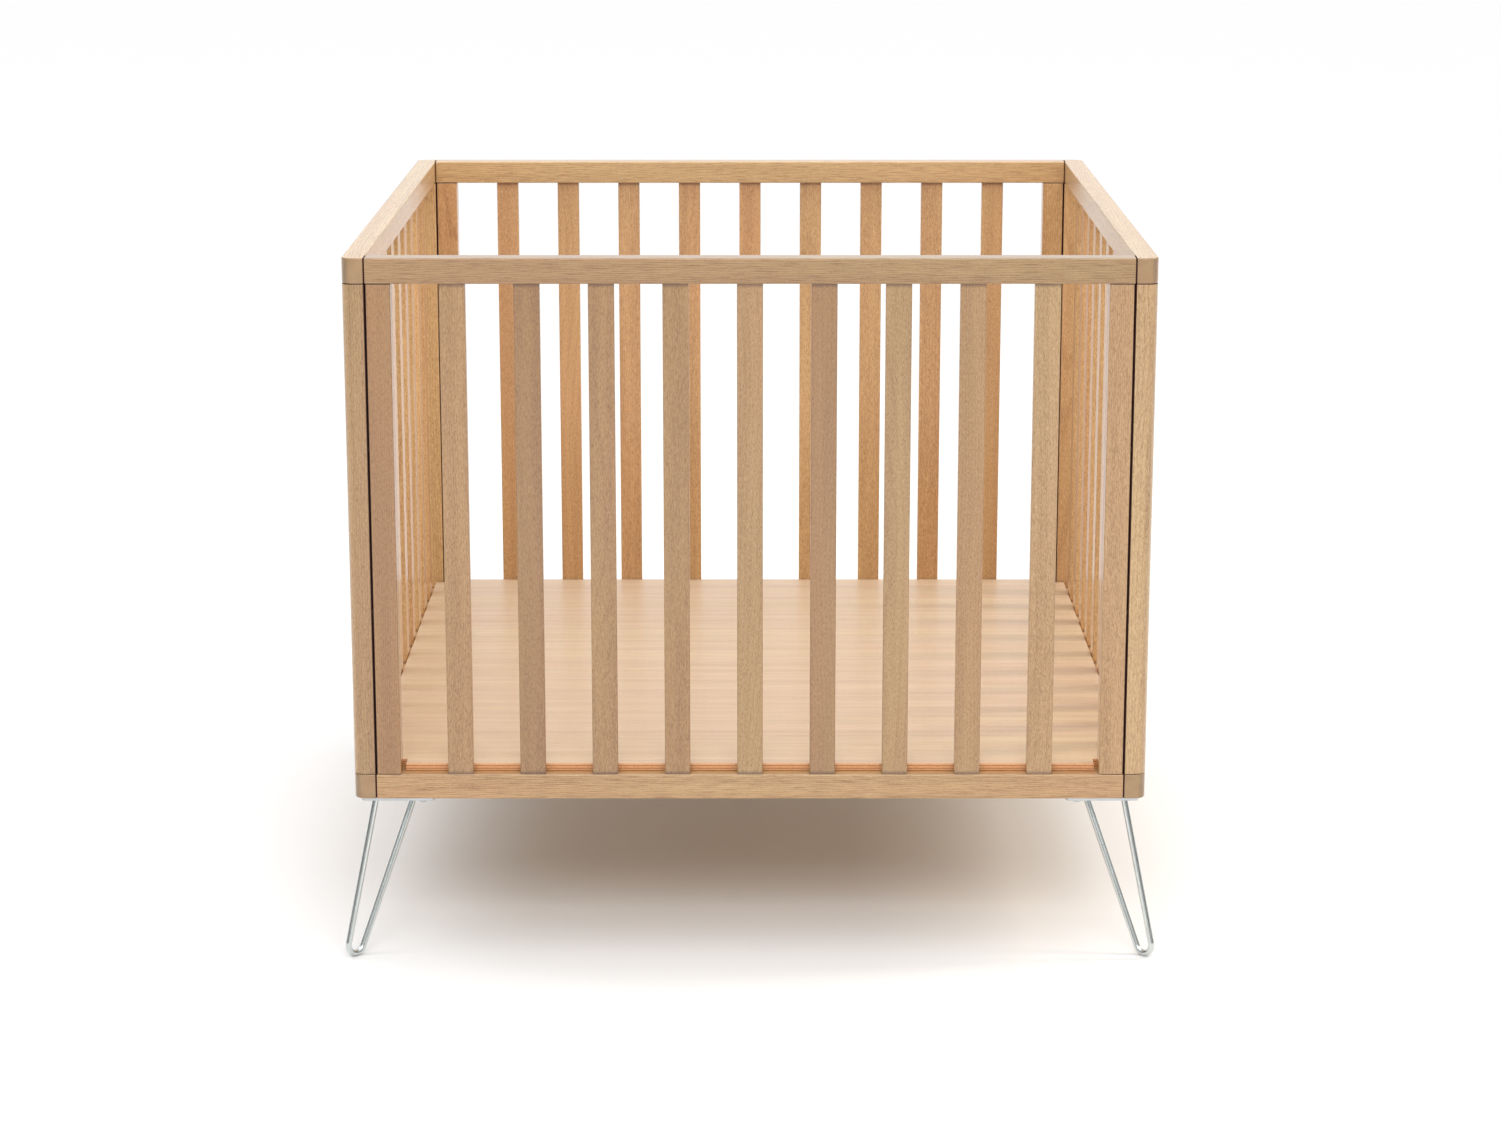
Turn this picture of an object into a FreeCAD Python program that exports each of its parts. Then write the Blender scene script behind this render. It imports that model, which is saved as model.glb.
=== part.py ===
import FreeCAD, Part
import Sketcher
import math
import os

# A slatted wooden playpen on four hairpin legs.
#
# Frame: +Z up, the front faces -Y, the origin is on the floor under the middle of the pen.
# The side panels run the full depth. The front and back panels stand between them.
# Each panel is two rails, two stiles and a row of slats tenoned into the rails.
# The base board lies loose on the four bottom rails and is notched round the stiles.

SIZES = {
    "outer_width": 1000.0,      # over the outer faces of the side panels
    "slat_width": 32.0,         # slats and stiles alike
    "bay_gap": 59.2,            # free space between neighbouring slats
    "front_slats": 9,
    "side_slats": 10,
    "panel_thick": 28.0,        # rails and stiles, from outer to inner face
    "rail_height": 32.0,
    "clear_height": 624.0,      # between a panel's rails
    "slat_thick": 14.5,
    "slat_setback": 1.5,        # slats stand this far behind the rails' outer face
    "tenon_width": 24.0,
    "tenon_thick": 8.0,
    "tenon_length": 12.0,
    "edge_round": 2.0,          # eased edges of rails and stiles
    "slat_round": 1.5,          # eased edges of slats
    "corner_round": 14.0,       # outer upright corners of the side panels
    "stile_ease": 1.4,          # the eased end edges of the stiles
    "stile_reveal": 1.3,        # shadow gap beside a front or back panel's stiles
    "leg_height": 208.0,        # floor to the underside of the bottom rails
    "board_thick": 10.0,
    "board_margin": 17.0,       # from the pen's outer faces to the board's edges
    "notch_clear": 4.5,         # between a notch and the stile that stands in it
    "board_round": 1.0,
    "block_side": 74.0,         # corner blocks, in plan
    "block_chamfer": 6.0,
    "plate_side": 92.0,
    "plate_thick": 5.0,
    "plate_inset": 8.0,         # from the pen's outer faces to the plate's edges
    "plate_round": 5.0,
    "plate_rim": 0.6,           # eased lower edge
    "rod_radius": 4.0,
    "bend_radius": 12.5,        # of the rod's centre line at the foot
    "rod_outer": 25.7,          # weld of the outer rod, from each outer face
    "rod_inner": 74.7,          # weld of the inner rod, from each outer face
    "foot_reach": 2.2,          # the foot's middle stands this far outside each face
    "screw_far": 85.0,          # leg screws in the rails: along the rail
    "screw_near": 19.0,         # and from the rail's outer face
    "screw_block": 88.0,        # leg screw in the corner block, from each outer face
    "screw_radius": 3.0,
    "screw_length": 25.0,       # in the wood
    "screw_head": 6.5,          # head radius
    "head_rise": 4.5,
    "screw_crown": 2.5,         # rounding of the domed head
    "bolt_radius": 3.0,
    "bolt_length": 70.0,        # under the head
    "bolt_head": 6.5,           # head radius
    "bolt_head_thick": 2.5,
    "bolt_seat": 3.5,           # depth of the head's counterbore
    "bolt_inset": 18.0,         # bolt axis from the front or back face
    "bolt_head_round": 0.8,
    "socket_reach": 2.31,       # from the middle of the hexagon socket to its corners
    "bolt_clear": 0.25,         # between the shank and the wood
    "nut_radius": 5.0,
    "nut_length": 16.0,
    "nut_reach": 38.0,          # nut's axis from the rail's end
    "dowel_radius": 4.0,
    "dowel_bevel": 0.8,
    "dowel_in_rail": 10.0,
    "dowel_in_stile": 20.0,
    "dowel_edge": 8.0,          # dowel axis from a stile's edge
    "corner_dowel": 30.0,       # length of a dowel between two stiles
}

doc = FreeCAD.newDocument("playpen")
sheet = doc.addObject("Spreadsheet::Sheet", "sizes")
for row, (alias, value) in enumerate(SIZES.items(), start=1):
    sheet.set("A%d" % row, alias)
    sheet.set("B%d" % row, str(value))
    sheet.setAlias("B%d" % row, alias)
doc.recompute()

X_AXIS = FreeCAD.Vector(1, 0, 0)
Y_AXIS = FreeCAD.Vector(0, 1, 0)
Z_AXIS = FreeCAD.Vector(0, 0, 1)

# Expressions that several pieces share. S("name") is one cell of the sheet.


def S(name):
    return "sizes." + name


PITCH = "(%s + %s)" % (S("slat_width"), S("bay_gap"))
INNER_WIDTH = "(%s - 2 * %s)" % (S("outer_width"), S("panel_thick"))
DEPTH = "((%s + 2) * %s + (%s + 1) * %s)" % (
    S("side_slats"), S("slat_width"), S("side_slats"), S("bay_gap"))
MID_THICK = "(%s / 2)" % S("panel_thick")
MID_RAIL = "(%s / 2)" % S("rail_height")
SLAT_MIDDLE = "(%s + %s / 2)" % (S("slat_setback"), S("slat_thick"))
BOTTOM_RAIL = S("leg_height")
RAIL_TOP = "(%s + %s)" % (S("leg_height"), S("rail_height"))
TOP_RAIL = "(%s + %s + %s)" % (S("leg_height"), S("rail_height"), S("clear_height"))

finished = []


def keep(piece):
    """Marks a piece as one of the sub-parts that are written out."""
    finished.append(piece)
    return piece


def place(piece, spin, x, y, z, axis=Z_AXIS):
    """Turns a piece by spin degrees about axis and binds its position to expressions."""
    piece.Placement = FreeCAD.Placement(FreeCAD.Vector(), FreeCAD.Rotation(axis, spin))
    for name, value in (("x", x), ("y", y), ("z", z)):
        piece.setExpression("Placement.Base." + name, value)


# Sketch helpers


def origin_plane(body, role):
    for feature in body.Origin.OriginFeatures:
        if feature.Role == role:
            return feature
    raise ValueError(role)


def new_sketch(body, name, role, offset=None):
    """A sketch on one of the body's own origin planes, lifted by the expression offset."""
    sketch = body.newObject("Sketcher::SketchObject", name)
    sketch.AttachmentSupport = [(origin_plane(body, role), "")]
    sketch.MapMode = "FlatFace"
    if offset:
        sketch.setExpression("AttachmentOffset.Base.z", offset)
    return sketch


def bind(sketch, constraint, name, value):
    """Adds a dimension to a sketch and binds it to an expression."""
    index = sketch.addConstraint(constraint)
    sketch.renameConstraint(index, name)
    sketch.setExpression("Constraints." + name, value)


def outline(sketch, corners):
    """A closed outline of straight lines: each corner is a pair of expressions."""
    count = len(corners)
    for i in range(count):
        angle = 2 * math.pi * i / count
        after = 2 * math.pi * (i + 1) / count
        start = FreeCAD.Vector(60 * math.cos(angle), 60 * math.sin(angle), 0)
        end = FreeCAD.Vector(60 * math.cos(after), 60 * math.sin(after), 0)
        sketch.addGeometry(Part.LineSegment(start, end))
    for i in range(count):
        sketch.addConstraint(Sketcher.Constraint("Coincident", i, 2, (i + 1) % count, 1))
    for i, (across, up) in enumerate(corners):
        bind(sketch, Sketcher.Constraint("DistanceX", -1, 1, i, 1, 1.0), "x%d" % i, across)
        bind(sketch, Sketcher.Constraint("DistanceY", -1, 1, i, 1, 1.0), "y%d" % i, up)


def rectangle(sketch, left, right, low, high):
    outline(sketch, [(left, low), (right, low), (right, high), (left, high)])


def circle(sketch, across, up, radius):
    index = sketch.addGeometry(Part.Circle(FreeCAD.Vector(5, 5, 0), Z_AXIS, 2.0))
    label = "c%d" % index
    bind(sketch, Sketcher.Constraint("DistanceX", -1, 1, index, 3, 5.0), label + "x", across)
    bind(sketch, Sketcher.Constraint("DistanceY", -1, 1, index, 3, 5.0), label + "y", up)
    bind(sketch, Sketcher.Constraint("Radius", index, 2.0), label + "r", radius)


def pad(body, sketch, length, both_ways=False):
    feature = body.newObject("PartDesign::Pad", sketch.Name + "_pad")
    feature.Profile = sketch
    if both_ways:
        feature.SideType = "Symmetric"
    feature.setExpression("Length", length)
    sketch.Visibility = False
    return feature


def pocket(body, sketch, depth, forward):
    """Cuts a sketch into the body: forward cuts along the sketch's normal."""
    feature = body.newObject("PartDesign::Pocket", sketch.Name + "_cut")
    feature.Profile = sketch
    feature.Reversed = forward
    feature.setExpression("Length", depth)
    sketch.Visibility = False
    return feature


def mirror(body, features):
    """Repeats features on the other side of the body's YZ plane."""
    feature = body.newObject("PartDesign::Mirrored", features[0].Name + "_mirror")
    feature.Originals = features
    feature.MirrorPlane = (origin_plane(body, "YZ_Plane"), [""])
    body.Tip = feature
    return feature


def edges_where(feature, test):
    """Names of the edges whose ends and middle all pass the test."""
    doc.recompute()
    names = []
    for number, edge in enumerate(feature.Shape.Edges, start=1):
        middle = edge.valueAt((edge.FirstParameter + edge.LastParameter) / 2)
        points = [vertex.Point for vertex in edge.Vertexes] + [middle]
        if all(test(point) for point in points):
            names.append("Edge%d" % number)
    return names


def fillet(body, base, names, radius):
    feature = body.newObject("PartDesign::Fillet", base.Name + "_round")
    feature.Base = (base, names)
    feature.setExpression("Radius", radius)
    return feature


def near(value, target):
    return abs(value - target) < 0.01


# Rails. Local frame: X along the rail from its middle, Y from the outer face inwards,
# Z from the face that holds the mortises. A bottom rail is turned over about Y.


def side_length():
    """The side panels' length in millimetres."""
    slats = SIZES["side_slats"]
    return (slats + 2) * SIZES["slat_width"] + (slats + 1) * SIZES["bay_gap"]


def rail_blank(label, length, side_panel):
    """The bar with its eased edges, and round upright corners on a side panel."""
    body = doc.addObject("PartDesign::Body", label)
    section = new_sketch(body, label + "_section", "YZ_Plane")
    rectangle(section, "0", S("panel_thick"), "0", S("rail_height"))
    bar = pad(body, section, length, both_ways=True)
    if side_panel:
        end = side_length() / 2
        names = edges_where(bar, lambda p: near(p.y, 0) and near(abs(p.x), end))
        bar = fillet(body, bar, names, S("corner_round"))
    doc.recompute()
    names = sharp_edges(bar.Shape)
    fillet(body, bar, names, S("edge_round"))
    return body


def sharp_edges(shape):
    """Names of the edges where two faces meet at an angle."""
    names = []
    for number, edge in enumerate(shape.Edges, start=1):
        faces = shape.ancestorsOfType(edge, Part.Face)
        if len(faces) < 2:
            continue
        point = edge.valueAt((edge.FirstParameter + edge.LastParameter) / 2)
        normals = []
        for face in faces[:2]:
            across, up = face.Surface.parameter(point)
            normals.append(face.normalAt(across, up))
        if abs(normals[0].dot(normals[1])) < 0.99:
            names.append("Edge%d" % number)
    return names


def mortises(body, label, count):
    """A row of mortises, one under each slat, symmetric about the rail's middle."""
    sketch = new_sketch(body, label + "_mortise", "XY_Plane")
    first = "-(%s - 1) / 2 * %s" % (count, PITCH)
    half = "%s / 2" % S("tenon_width")
    deep = "%s / 2" % S("tenon_thick")
    rectangle(sketch, "%s - %s" % (first, half), "%s + %s" % (first, half),
              "%s - %s" % (SLAT_MIDDLE, deep), "%s + %s" % (SLAT_MIDDLE, deep))
    cut = pocket(body, sketch, S("tenon_length"), forward=True)
    row = body.newObject("PartDesign::LinearPattern", label + "_mortises")
    row.Originals = [cut]
    row.Direction = (sketch, ["H_Axis"])
    row.setExpression("Length", "(%s - 1) * %s" % (count, PITCH))
    row.setExpression("Occurrences", count)
    body.Tip = row


def dowel_holes(body, label, half_length):
    """Holes for the two dowels that join the rail to the stile at its end."""
    sketch = new_sketch(body, label + "_dowel", "XY_Plane")
    outer = "%s - %s" % (half_length, S("dowel_edge"))
    inner = "%s - %s + %s" % (half_length, S("slat_width"), S("dowel_edge"))
    for across in (outer, inner):
        circle(sketch, across, MID_THICK, S("dowel_radius"))
    return pocket(body, sketch, S("dowel_in_rail"), forward=True)


def screw_hole(body, label, half_length, from_end):
    """A hole for a leg screw, in the underside of a bottom rail."""
    sketch = new_sketch(body, label + "_screw", "XY_Plane", S("rail_height"))
    circle(sketch, "%s - %s" % (half_length, from_end), S("screw_near"), S("screw_radius"))
    return pocket(body, sketch, S("screw_length"), forward=False)


def cross_rail(label, is_bottom):
    """A front or back rail: bolt holes run into its ends, barrel nuts cross them."""
    body = rail_blank(label, INNER_WIDTH, side_panel=False)
    mortises(body, label, S("front_slats"))
    half = "%s / 2" % INNER_WIDTH
    shank = "%s + %s" % (S("bolt_radius"), S("bolt_clear"))
    bore = new_sketch(body, label + "_bolt", "YZ_Plane", half)
    circle(bore, S("bolt_inset"), MID_RAIL, shank)
    depth = "%s - %s + %s + 4" % (S("bolt_length"), S("panel_thick"), S("bolt_seat"))
    cuts = [pocket(body, bore, depth, forward=False)]
    nut = new_sketch(body, label + "_nut", "XY_Plane", S("rail_height") if is_bottom else None)
    circle(nut, "%s - %s" % (half, S("nut_reach")), S("bolt_inset"), S("nut_radius"))
    nut_depth = "%s + %s / 2" % (MID_RAIL, S("nut_length"))
    cuts.append(pocket(body, nut, nut_depth, forward=not is_bottom))
    cuts.append(dowel_holes(body, label, half))
    if is_bottom:
        far = "(%s - %s)" % (S("screw_far"), S("panel_thick"))
        cuts.append(screw_hole(body, label, half, far))
    mirror(body, cuts)
    return keep(body)


def side_rail(label, is_bottom):
    """A full-depth rail: the panel bolts pass through it near its ends."""
    body = rail_blank(label, DEPTH, side_panel=True)
    mortises(body, label, S("side_slats"))
    half = "%s / 2" % DEPTH
    bolt_x = "%s - %s" % (half, S("bolt_inset"))
    shank = "%s + %s" % (S("bolt_radius"), S("bolt_clear"))
    # The XZ plane's normal points to -Y, out of the rail's outer face.
    through = new_sketch(body, label + "_bolt", "XZ_Plane")
    circle(through, bolt_x, MID_RAIL, shank)
    cuts = [pocket(body, through, S("panel_thick"), forward=False)]
    seat = new_sketch(body, label + "_seat", "XZ_Plane")
    circle(seat, bolt_x, MID_RAIL, "%s + 2 * %s" % (S("bolt_head"), S("bolt_clear")))
    cuts.append(pocket(body, seat, S("bolt_seat"), forward=False))
    cuts.append(dowel_holes(body, label, half))
    if is_bottom:
        cuts.append(screw_hole(body, label, half, S("screw_far")))
    mirror(body, cuts)
    return keep(body)


# Stiles. Local frame: X across the stile from its middle, +X towards the pen's corner,
# Y from the outer face inwards, Z up from the bottom rail. A stile is the mirror image of
# its opposite number, so each is drawn with its corner side at corner * half its width.


def stile(label, side_panel, corner):
    body = doc.addObject("PartDesign::Body", label)
    section = new_sketch(body, label + "_section", "XY_Plane")
    half = "%s / 2" % S("slat_width")
    corner_side = half if side_panel else "(%s - %s)" % (half, S("stile_reveal"))
    sides = ("-" + half, corner_side) if corner > 0 else ("-" + corner_side, half)
    rectangle(section, sides[0], sides[1], "0", S("panel_thick"))
    post = pad(body, section, S("clear_height"))
    corner_x = corner * SIZES["slat_width"] / 2
    if side_panel:
        names = edges_where(post, lambda p: near(p.x, corner_x) and near(p.y, 0))
        post = fillet(body, post, names, S("corner_round"))
    doc.recompute()
    top = SIZES["clear_height"]
    uprights = []
    for name in sharp_edges(post.Shape):
        if near(post.Shape.getElement(name).Length, top):
            uprights.append(name)
    post = fillet(body, post, uprights, S("edge_round"))
    doc.recompute()
    post = fillet(body, post, sharp_edges(post.Shape), S("stile_ease"))
    for end, lift in (("low", None), ("high", S("clear_height"))):
        holes = new_sketch(body, "%s_%s" % (label, end), "XY_Plane", lift)
        for across in (-1, 1):
            offset = "%d * (%s - %s)" % (across, half, S("dowel_edge"))
            circle(holes, offset, MID_THICK, S("dowel_radius"))
        pocket(body, holes, S("dowel_in_stile"), forward=(end == "low"))
    corner_holes(body, label, side_panel, corner, corner_side)
    return keep(body)


def corner_holes(body, label, side_panel, corner, corner_side):
    """Holes for the two dowels to the neighbouring panel's stile."""
    heights = ["%s / 3" % S("clear_height"), "2 * %s / 3" % S("clear_height")]
    depth = "%s / 2" % S("corner_dowel")
    if side_panel:
        # Into the inner face. The XZ plane's normal points to -Y.
        holes = new_sketch(body, label + "_corner", "XZ_Plane", "-%s" % S("panel_thick"))
        for height in heights:
            across = "%d * (%s - %s)" % (corner, corner_side, MID_THICK)
            circle(holes, across, height, S("dowel_radius"))
        cut = pocket(body, holes, depth, forward=True)
    else:
        holes = new_sketch(body, label + "_corner", "YZ_Plane", "%d * %s" % (corner, corner_side))
        for height in heights:
            circle(holes, MID_THICK, height, S("dowel_radius"))
        depth = "%s - %s" % (depth, S("stile_reveal"))
        cut = pocket(body, holes, depth, forward=(corner < 0))
    body.Tip = cut


# Slats. Local frame: X across from the middle, Y from the panel's outer face inwards,
# Z up from the bottom rail.


def slat(label):
    body = doc.addObject("PartDesign::Body", label)
    section = new_sketch(body, label + "_section", "XY_Plane")
    half = "%s / 2" % S("slat_width")
    back = "%s + %s" % (S("slat_setback"), S("slat_thick"))
    rectangle(section, "-%s" % half, half, S("slat_setback"), back)
    blade = pad(body, section, S("clear_height"))
    doc.recompute()
    tall = SIZES["clear_height"]
    names = []
    for number, edge in enumerate(blade.Shape.Edges, start=1):
        if near(edge.Length, tall):
            names.append("Edge%d" % number)
    fillet(body, blade, names, S("slat_round"))
    tenon = new_sketch(body, label + "_tenon", "XY_Plane", "-%s" % S("tenon_length"))
    wide = "%s / 2" % S("tenon_width")
    deep = "%s / 2" % S("tenon_thick")
    rectangle(tenon, "-%s" % wide, wide,
              "%s - %s" % (SLAT_MIDDLE, deep), "%s + %s" % (SLAT_MIDDLE, deep))
    core = pad(body, tenon, "%s + 2 * %s" % (S("clear_height"), S("tenon_length")))
    body.Tip = core
    return body


# Panels: where each rail, stile and slat stands


def panel(name, side_panel, spin, x, y):
    """Builds one panel. spin turns its local X axis, x and y place its outer face's middle."""
    count = SIZES["side_slats"] if side_panel else SIZES["front_slats"]
    length = DEPTH if side_panel else INNER_WIDTH
    make_rail = side_rail if side_panel else cross_rail
    turn = FreeCAD.Rotation(Z_AXIS, spin)
    along = turn.multVec(X_AXIS)

    def shifted(offset):
        return ("%s + %d * (%s)" % (x, round(along.x), offset),
                "%s + %d * (%s)" % (y, round(along.y), offset))

    top = make_rail(name + "_top_rail", is_bottom=False)
    place(top, spin, x, y, TOP_RAIL)
    bottom = make_rail(name + "_bottom_rail", is_bottom=True)
    place(bottom, spin, x, y, RAIL_TOP)
    bottom.Placement.Rotation = turn * FreeCAD.Rotation(Y_AXIS, 180)
    ends = {"front": ("left", "right"), "back": ("right", "left"),
            "left": ("back", "front"), "right": ("front", "back")}[name]
    for corner, end in zip((-1, 1), ends):
        post = stile("%s_%s_stile" % (name, end), side_panel, corner)
        across, deep = shifted("%d * (%s / 2 - %s / 2)" % (corner, length, S("slat_width")))
        place(post, spin, across, deep, RAIL_TOP)
    blades = []
    for number in range(count):
        blade = slat("%s_slat_%d" % (name, number + 1))
        across, deep = shifted("%s * %s" % (number - (count - 1) / 2, PITCH))
        place(blade, spin, across, deep, RAIL_TOP)
        blades.append(blade)
    return blades


HALF_WIDTH = "%s / 2" % S("outer_width")
HALF_DEPTH = "%s / 2" % DEPTH

for front_or_back, spin, y in (("front", 0, "-" + HALF_DEPTH), ("back", 180, HALF_DEPTH)):
    for blade in panel(front_or_back, False, spin, "0", y):
        keep(blade)
for side, spin, x in (("left", -90, "-" + HALF_WIDTH), ("right", 90, HALF_WIDTH)):
    group = doc.addObject("Part::Compound", side + "_slats")
    group.Links = panel(side, True, spin, x, "0")
    keep(group)


# The base board: a plywood sheet on the bottom rails, notched round the stiles


def base_board():
    body = doc.addObject("PartDesign::Body", "base_board")
    sketch = new_sketch(body, "board_outline", "XY_Plane")
    right = "(%s - %s)" % (HALF_WIDTH, S("board_margin"))
    back = "(%s - %s)" % (HALF_DEPTH, S("board_margin"))
    clear = "%s + %s" % (S("slat_width"), S("notch_clear"))
    tab_x = "(%s / 2 - %s)" % (INNER_WIDTH, clear.replace("+", "-"))
    tab_y = "(%s - %s)" % (HALF_DEPTH, clear.replace("+", "-"))
    corners = []
    for sx, sy in ((1, 1), (-1, 1), (-1, -1), (1, -1)):
        side_point = ("%d * %s" % (sx, right), "%d * %s" % (sy, tab_y))
        inner_point = ("%d * %s" % (sx, tab_x), "%d * %s" % (sy, tab_y))
        end_point = ("%d * %s" % (sx, tab_x), "%d * %s" % (sy, back))
        step = [side_point, inner_point, end_point]
        corners += step if sx * sy > 0 else step[::-1]
    outline(sketch, corners)
    sheet_body = pad(body, sketch, S("board_thick"))
    top = SIZES["board_thick"]
    for level in (0, top):
        names = edges_where(sheet_body, lambda p, level=level: near(p.z, level))
        sheet_body = fillet(body, sheet_body, names, S("board_round"))
    place(body, 0, "0", "0", RAIL_TOP)
    return keep(body)


base_board()


# Corner pieces. Local frame of a corner: the origin is the pen's outer corner at the
# underside of the rails, +X and +Y run inwards along the two panels, Z is up.

CORNERS = (
    ("front_left", 0, "-" + HALF_WIDTH, "-" + HALF_DEPTH),
    ("front_right", 90, HALF_WIDTH, "-" + HALF_DEPTH),
    ("back_right", 180, HALF_WIDTH, HALF_DEPTH),
    ("back_left", 270, "-" + HALF_WIDTH, HALF_DEPTH),
)


# Leg screws, in a corner's local frame: one in each rail and one in the corner block.
SCREW_PLACES = (
    (S("screw_far"), S("screw_near")),
    (S("screw_near"), S("screw_far")),
    (S("screw_block"), S("screw_block")),
)


def corner_block(label):
    """A wooden block in the angle between two bottom rails, level with their top."""
    body = doc.addObject("PartDesign::Body", label)
    sketch = new_sketch(body, label + "_plan", "XY_Plane")
    near_side = S("panel_thick")
    far_side = "(%s + %s)" % (S("panel_thick"), S("block_side"))
    cut_side = "(%s - %s)" % (far_side, S("block_chamfer"))
    outline(sketch, [(near_side, near_side), (far_side, near_side), (far_side, cut_side),
                     (cut_side, far_side), (near_side, far_side)])
    pad(body, sketch, S("rail_height"))
    hole = new_sketch(body, label + "_screw", "XY_Plane")
    circle(hole, S("screw_block"), S("screw_block"), S("screw_radius"))
    body.Tip = pocket(body, hole, S("screw_length"), forward=True)
    return body


def leg_plate(label):
    """The square steel plate, with clearance holes for its three screws."""
    body = doc.addObject("PartDesign::Body", label)
    sketch = new_sketch(body, label + "_plan", "XY_Plane", "-%s" % S("plate_thick"))
    far_side = "%s + %s" % (S("plate_inset"), S("plate_side"))
    rectangle(sketch, S("plate_inset"), far_side, S("plate_inset"), far_side)
    slab = pad(body, sketch, S("plate_thick"))
    low = -SIZES["plate_thick"]
    doc.recompute()
    names = []
    for number, edge in enumerate(slab.Shape.Edges, start=1):
        if near(edge.Length, SIZES["plate_thick"]):
            names.append("Edge%d" % number)
    slab = fillet(body, slab, names, S("plate_round"))
    rims = edges_where(slab, lambda p: near(p.z, low))
    fillet(body, slab, rims, S("plate_rim"))
    holes = new_sketch(body, label + "_holes", "XY_Plane")
    for across, deep in SCREW_PLACES:
        circle(holes, across, deep, "%s + %s" % (S("screw_radius"), S("bolt_clear")))
    body.Tip = pocket(body, holes, S("plate_thick"), forward=False)
    return body


def tangent_point(start, centre, radius, side):
    """Where the line from start touches the circle, on the given side of it."""
    reach = start - centre
    angle = math.atan2(reach.y, reach.x) + side * math.acos(radius / reach.Length)
    return centre + FreeCAD.Vector(math.cos(angle), math.sin(angle), 0) * radius, angle


def hairpin_rod(label):
    """One rod bent to a narrow V. It lies in the upright plane through the corner."""
    body = doc.addObject("PartDesign::Body", label)
    diagonal = math.sqrt(2)
    radius = SIZES["bend_radius"]
    above = SIZES["rod_radius"]
    outer = FreeCAD.Vector(SIZES["rod_outer"] * diagonal, 0, 0)
    inner = FreeCAD.Vector(SIZES["rod_inner"] * diagonal, 0, 0)
    low = SIZES["rod_radius"] + radius - SIZES["leg_height"]
    centre = FreeCAD.Vector(-SIZES["foot_reach"] * diagonal, low, 0)
    outer_touch, outer_angle = tangent_point(outer, centre, radius, 1)
    inner_touch, inner_angle = tangent_point(inner, centre, radius, -1)
    spine = new_sketch(body, label + "_line", "XZ_Plane")
    spine.addGeometry(Part.LineSegment(outer, outer_touch))
    bend = Part.Circle(centre, Z_AXIS, radius)
    spine.addGeometry(Part.ArcOfCircle(bend, outer_angle, inner_angle + 2 * math.pi))
    spine.addGeometry(Part.LineSegment(inner_touch, inner))
    spine.addConstraint(Sketcher.Constraint("Tangent", 0, 2, 1, 1))
    spine.addConstraint(Sketcher.Constraint("Tangent", 1, 2, 2, 1))
    bind(spine, Sketcher.Constraint("Radius", 1, radius), "bend", S("bend_radius"))
    foot = "%s + %s - %s" % (S("rod_radius"), S("bend_radius"), S("leg_height"))
    bind(spine, Sketcher.Constraint("DistanceX", -1, 1, 0, 1, outer.x), "outer",
         "%s * sqrt(2)" % S("rod_outer"))
    bind(spine, Sketcher.Constraint("DistanceX", -1, 1, 2, 2, inner.x), "inner",
         "%s * sqrt(2)" % S("rod_inner"))
    bind(spine, Sketcher.Constraint("DistanceX", -1, 1, 1, 3, centre.x), "foot_x",
         "-%s * sqrt(2)" % S("foot_reach"))
    bind(spine, Sketcher.Constraint("DistanceY", -1, 1, 1, 3, centre.y), "foot_z", foot)
    spine.addConstraint(Sketcher.Constraint("PointOnObject", 0, 1, -1))
    spine.addConstraint(Sketcher.Constraint("PointOnObject", 2, 2, -1))
    doc.recompute()
    ring = body.newObject("Sketcher::SketchObject", label + "_section")
    ring.AttachmentSupport = [(spine, "Edge1")]
    ring.MapMode = "NormalToEdge"
    ring.addGeometry(Part.Circle(FreeCAD.Vector(), Z_AXIS, SIZES["rod_radius"]))
    ring.addConstraint(Sketcher.Constraint("Coincident", 0, 3, -1, 1))
    bind(ring, Sketcher.Constraint("Radius", 0, SIZES["rod_radius"]), "thick", S("rod_radius"))
    pipe = body.newObject("PartDesign::AdditivePipe", label + "_pipe")
    pipe.Profile = ring
    pipe.Spine = (spine, ["Edge1", "Edge2", "Edge3"])
    # The slanting ends are cut level with the plate's underside.
    trim = new_sketch(body, label + "_trim", "XY_Plane", "-%s" % S("plate_thick"))
    reach = "%s * 2" % S("plate_side")
    rectangle(trim, "-" + reach, reach, "-" + reach, reach)
    body.Tip = pocket(body, trim, "%s * 3" % S("plate_thick"), forward=True)
    return body


def turned(label, points):
    """A round piece about its local Z axis: points are radius and height expressions."""
    body = doc.addObject("PartDesign::Body", label)
    sketch = new_sketch(body, label + "_half", "XZ_Plane")
    outline(sketch, points)
    solid = body.newObject("PartDesign::Revolution", label + "_turned")
    solid.Profile = sketch
    solid.ReferenceAxis = (sketch, ["V_Axis"])
    solid.Angle = 360
    sketch.Visibility = False
    return body, solid


def leg_screw(label):
    """A wood screw with a low domed head, its shank up, seated on the plane Z = 0."""
    shank = S("screw_radius")
    long = "(%s + %s)" % (S("screw_length"), S("plate_thick"))
    body, solid = turned(label, [
        ("0", long), ("0", "-" + S("head_rise")),
        ("%s * 0.45" % S("screw_head"), "-" + S("head_rise")),
        ("%s * 0.85" % S("screw_head"), "-%s * 0.62" % S("head_rise")),
        (S("screw_head"), "0 - 0.8"), (S("screw_head"), "0"), (shank, "0"), (shank, long)])
    rise = SIZES["head_rise"]
    crown = edges_where(solid, lambda p: near(p.z, -rise) or near(p.z, -0.62 * rise))
    body.Tip = fillet(body, solid, crown, S("screw_crown"))
    return body


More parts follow.
